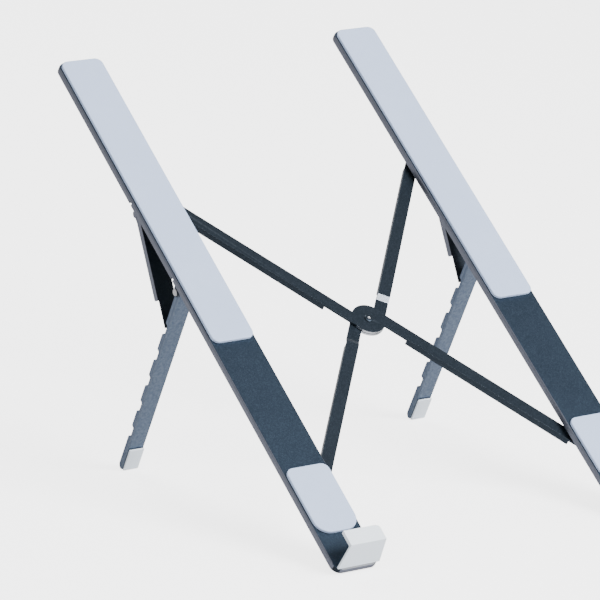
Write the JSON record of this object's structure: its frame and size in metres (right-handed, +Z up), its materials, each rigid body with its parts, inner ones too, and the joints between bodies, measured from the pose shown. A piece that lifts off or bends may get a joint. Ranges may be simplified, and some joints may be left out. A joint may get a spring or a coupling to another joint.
{
  "type": "laptop stand",
  "caption": "Folding sheet-metal laptop stand: padded rails with front hooks, a scissor of cross arms, notched rear legs and locking struts.",
  "frame": {"origin": "middle of the footprint, on the table", "axes": "+Z up; +Y from the hooks towards the raised rear end; +X to the right, seen from the hooks"},
  "size_m": [0.1458, 0.2074, 0.1541],
  "materials": {
    "anodised_rail": "blue-grey anodised, fine satin",
    "anodised_arm": "blue-grey anodised, fine satin",
    "anodised_leg": "blue-grey anodised, lighter in the light",
    "silicone_pad": "pale grey matt silicone",
    "silicone_cover": "near-white matt silicone",
    "bright_steel": "bright, lightly brushed",
    "nylon_spacer": "black nylon"
  },
  "bodies": {
    "left_side": {"left_rail": "anodised_rail", "left_top_pad": "silicone_pad", "left_front_pad": "silicone_pad", "left_hook_cover": "silicone_cover", "left_leg_bracket": "anodised_rail", "left_leg_bracket_rivet": "bright_steel", "left_leg_pin": "bright_steel", "left_strut_bracket": "anodised_rail", "left_strut_bracket_rivet": "bright_steel", "left_strut_pin": "bright_steel", "left_pivot_rivet": "bright_steel", "left_pivot_spacer": "nylon_spacer"},
    "lower_arm": {"lower_arm": "anodised_arm", "hub_rivet": "bright_steel", "hub_washer": "bright_steel", "right_slider_rivet": "bright_steel", "right_slider_spacer": "nylon_spacer"},
    "upper_arm": {"upper_arm": "anodised_arm", "left_slider_rivet": "bright_steel", "left_slider_spacer": "nylon_spacer"},
    "right_side": {"right_rail": "anodised_rail", "right_top_pad": "silicone_pad", "right_front_pad": "silicone_pad", "right_hook_cover": "silicone_cover", "right_leg_bracket": "anodised_rail", "right_leg_bracket_rivet": "bright_steel", "right_leg_pin": "bright_steel", "right_strut_bracket": "anodised_rail", "right_strut_bracket_rivet": "bright_steel", "right_strut_pin": "bright_steel", "right_pivot_rivet": "bright_steel", "right_pivot_spacer": "nylon_spacer"},
    "left_leg": {"left_leg": "anodised_leg", "left_foot_cap": "silicone_cover"},
    "right_leg": {"right_leg": "anodised_leg", "right_foot_cap": "silicone_cover"},
    "left_strut": {"left_strut": "anodised_leg"},
    "right_strut": {"right_strut": "anodised_leg"}
  },
  "joints": [
    {"name": "scissor_fold", "type": "hinge", "parent": "left_side", "child": "lower_arm", "pos_m": [-0.0574, -0.06435, 0.02354], "axis": [0, -0.6051, 0.7962], "range_deg": [0, 36.44]},
    {"name": "arm_cross", "type": "hinge", "parent": "lower_arm", "child": "upper_arm", "pos_m": [0, -0.00792, 0.06642], "axis": [0, 0.6051, -0.7962], "range_deg": [0, 72.89]},
    {"name": "right_rail_pivot", "type": "hinge", "parent": "upper_arm", "child": "right_side", "pos_m": [0.0574, -0.06435, 0.02354], "axis": [0, -0.6051, 0.7962], "range_deg": [0, 36.45]},
    {"name": "left_leg_fold", "type": "hinge", "parent": "left_side", "child": "left_leg", "pos_m": [-0.06713, 0.01533, 0.08032], "axis": [-1, 0, 0], "range_deg": [0, 82.34]},
    {"name": "left_strut_fold", "type": "hinge", "parent": "left_side", "child": "left_strut", "pos_m": [-0.06713, 0.04516, 0.10437], "axis": [1, 0, 0], "range_deg": [0, 151.53]},
    {"name": "right_leg_fold", "type": "hinge", "parent": "right_side", "child": "right_leg", "pos_m": [0.06713, 0.01533, 0.08032], "axis": [-1, 0, 0], "range_deg": [0, 82.34]},
    {"name": "right_strut_fold", "type": "hinge", "parent": "right_side", "child": "right_strut", "pos_m": [0.06713, 0.04516, 0.10437], "axis": [1, 0, 0], "range_deg": [0, 151.53]}
  ],
  "couplings": [
    {"joint": "arm_cross", "follows": "scissor_fold", "ratio": 2},
    {"joint": "right_rail_pivot", "follows": "scissor_fold", "ratio": 1},
    {"joint": "left_strut_fold", "follows": "left_leg_fold", "ratio": 1.84},
    {"joint": "right_strut_fold", "follows": "right_leg_fold", "ratio": 1.84}
  ]
}
